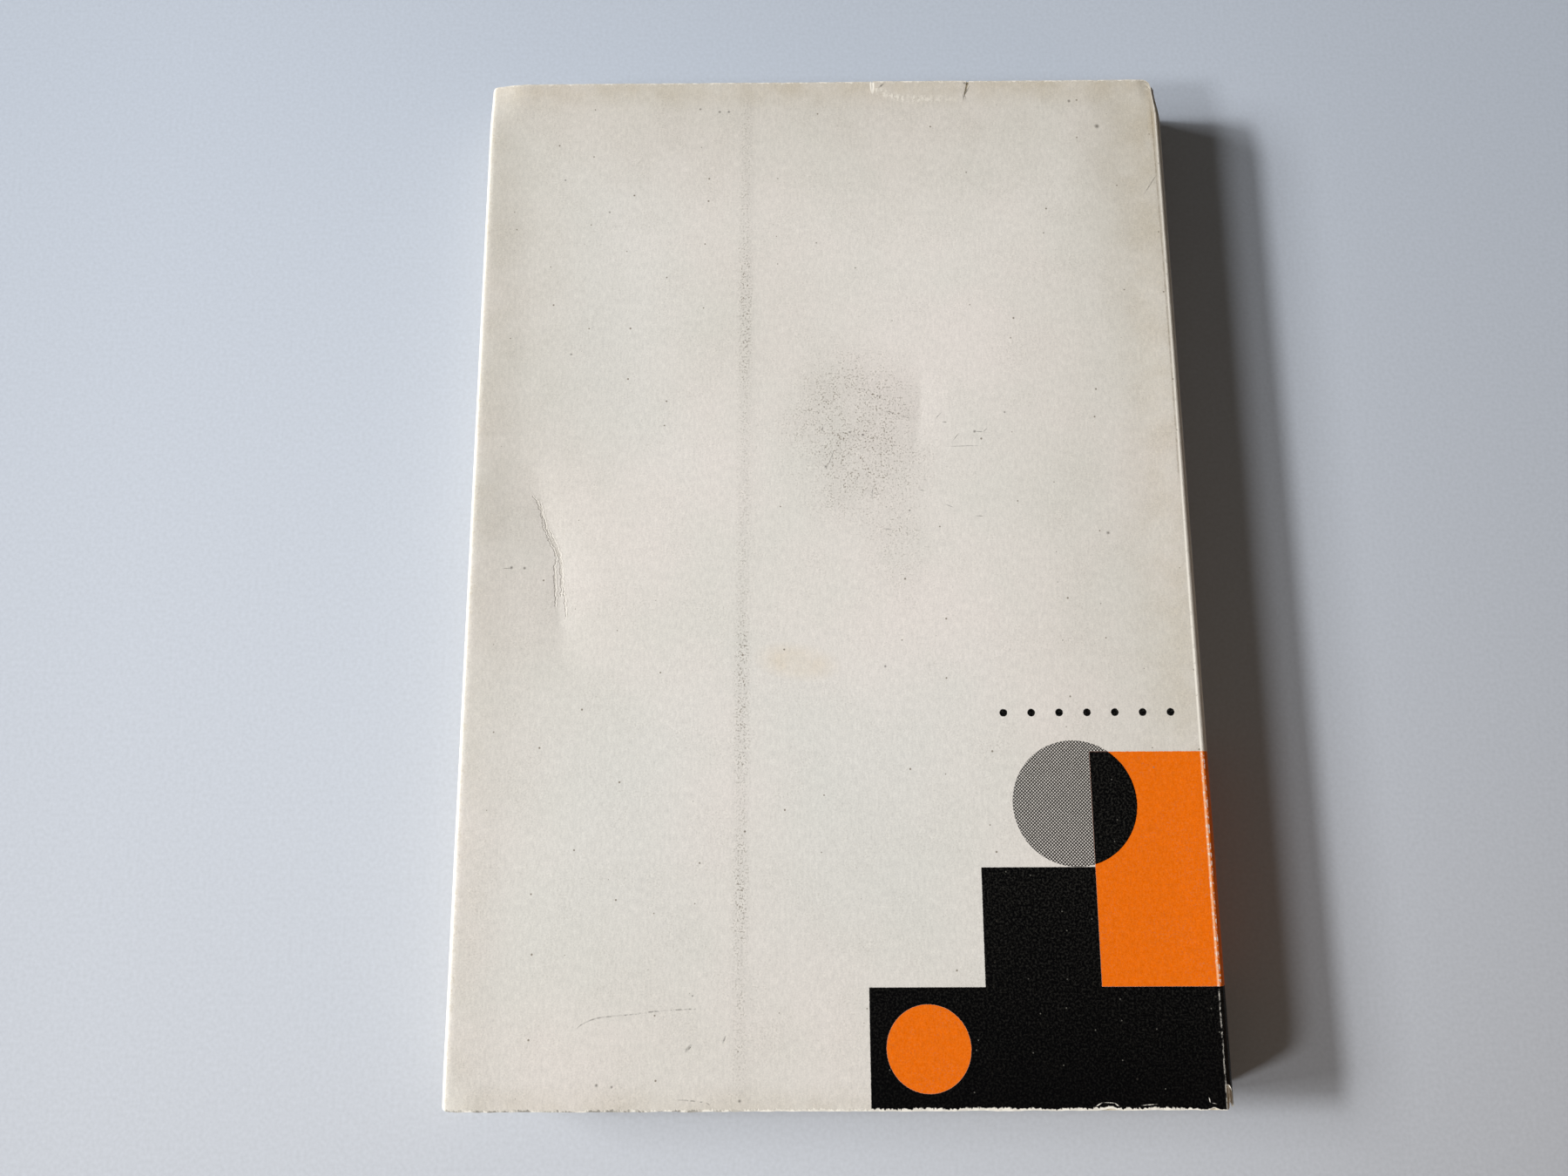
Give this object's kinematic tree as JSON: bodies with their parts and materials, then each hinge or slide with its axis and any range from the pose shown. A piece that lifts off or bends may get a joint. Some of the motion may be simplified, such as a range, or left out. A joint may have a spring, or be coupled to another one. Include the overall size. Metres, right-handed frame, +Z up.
{
  "type": "paperback book",
  "caption": "Paperback book lying closed on its front cover, with a rounded spine, card covers that open at the spine ridges, and flaps folded in at the fore-edge.",
  "frame": {"origin": "middle of the closed book's footprint, at table height", "axes": "+X towards the spine, +Y towards the head of the pages, +Z up through the back cover"},
  "size_m": [0.147, 0.21, 0.015],
  "materials": {
    "page_paper": "uncoated book paper, toned at the edges",
    "binding_glue": "dried bookbinding glue",
    "cover_card": "printed matt card, handled and rubbed at its edges"
  },
  "bodies": {
    "book_block": {"text_block": "page_paper", "spine_glue": "binding_glue", "spine_cover": "cover_card"},
    "back_cover": {"back_cover": "cover_card"},
    "front_cover": {"front_cover": "cover_card"}
  },
  "joints": [
    {"name": "back_cover_hinge", "type": "hinge", "parent": "book_block", "child": "back_cover", "pos_m": [0.0705, 0, 0.015], "axis": [0, 1, 0], "range_deg": [0, 180]},
    {"name": "front_cover_hinge", "type": "hinge", "parent": "book_block", "child": "front_cover", "pos_m": [0.0711, 0, 0], "axis": [0, -1, 0], "range_deg": [0, 180]}
  ]
}
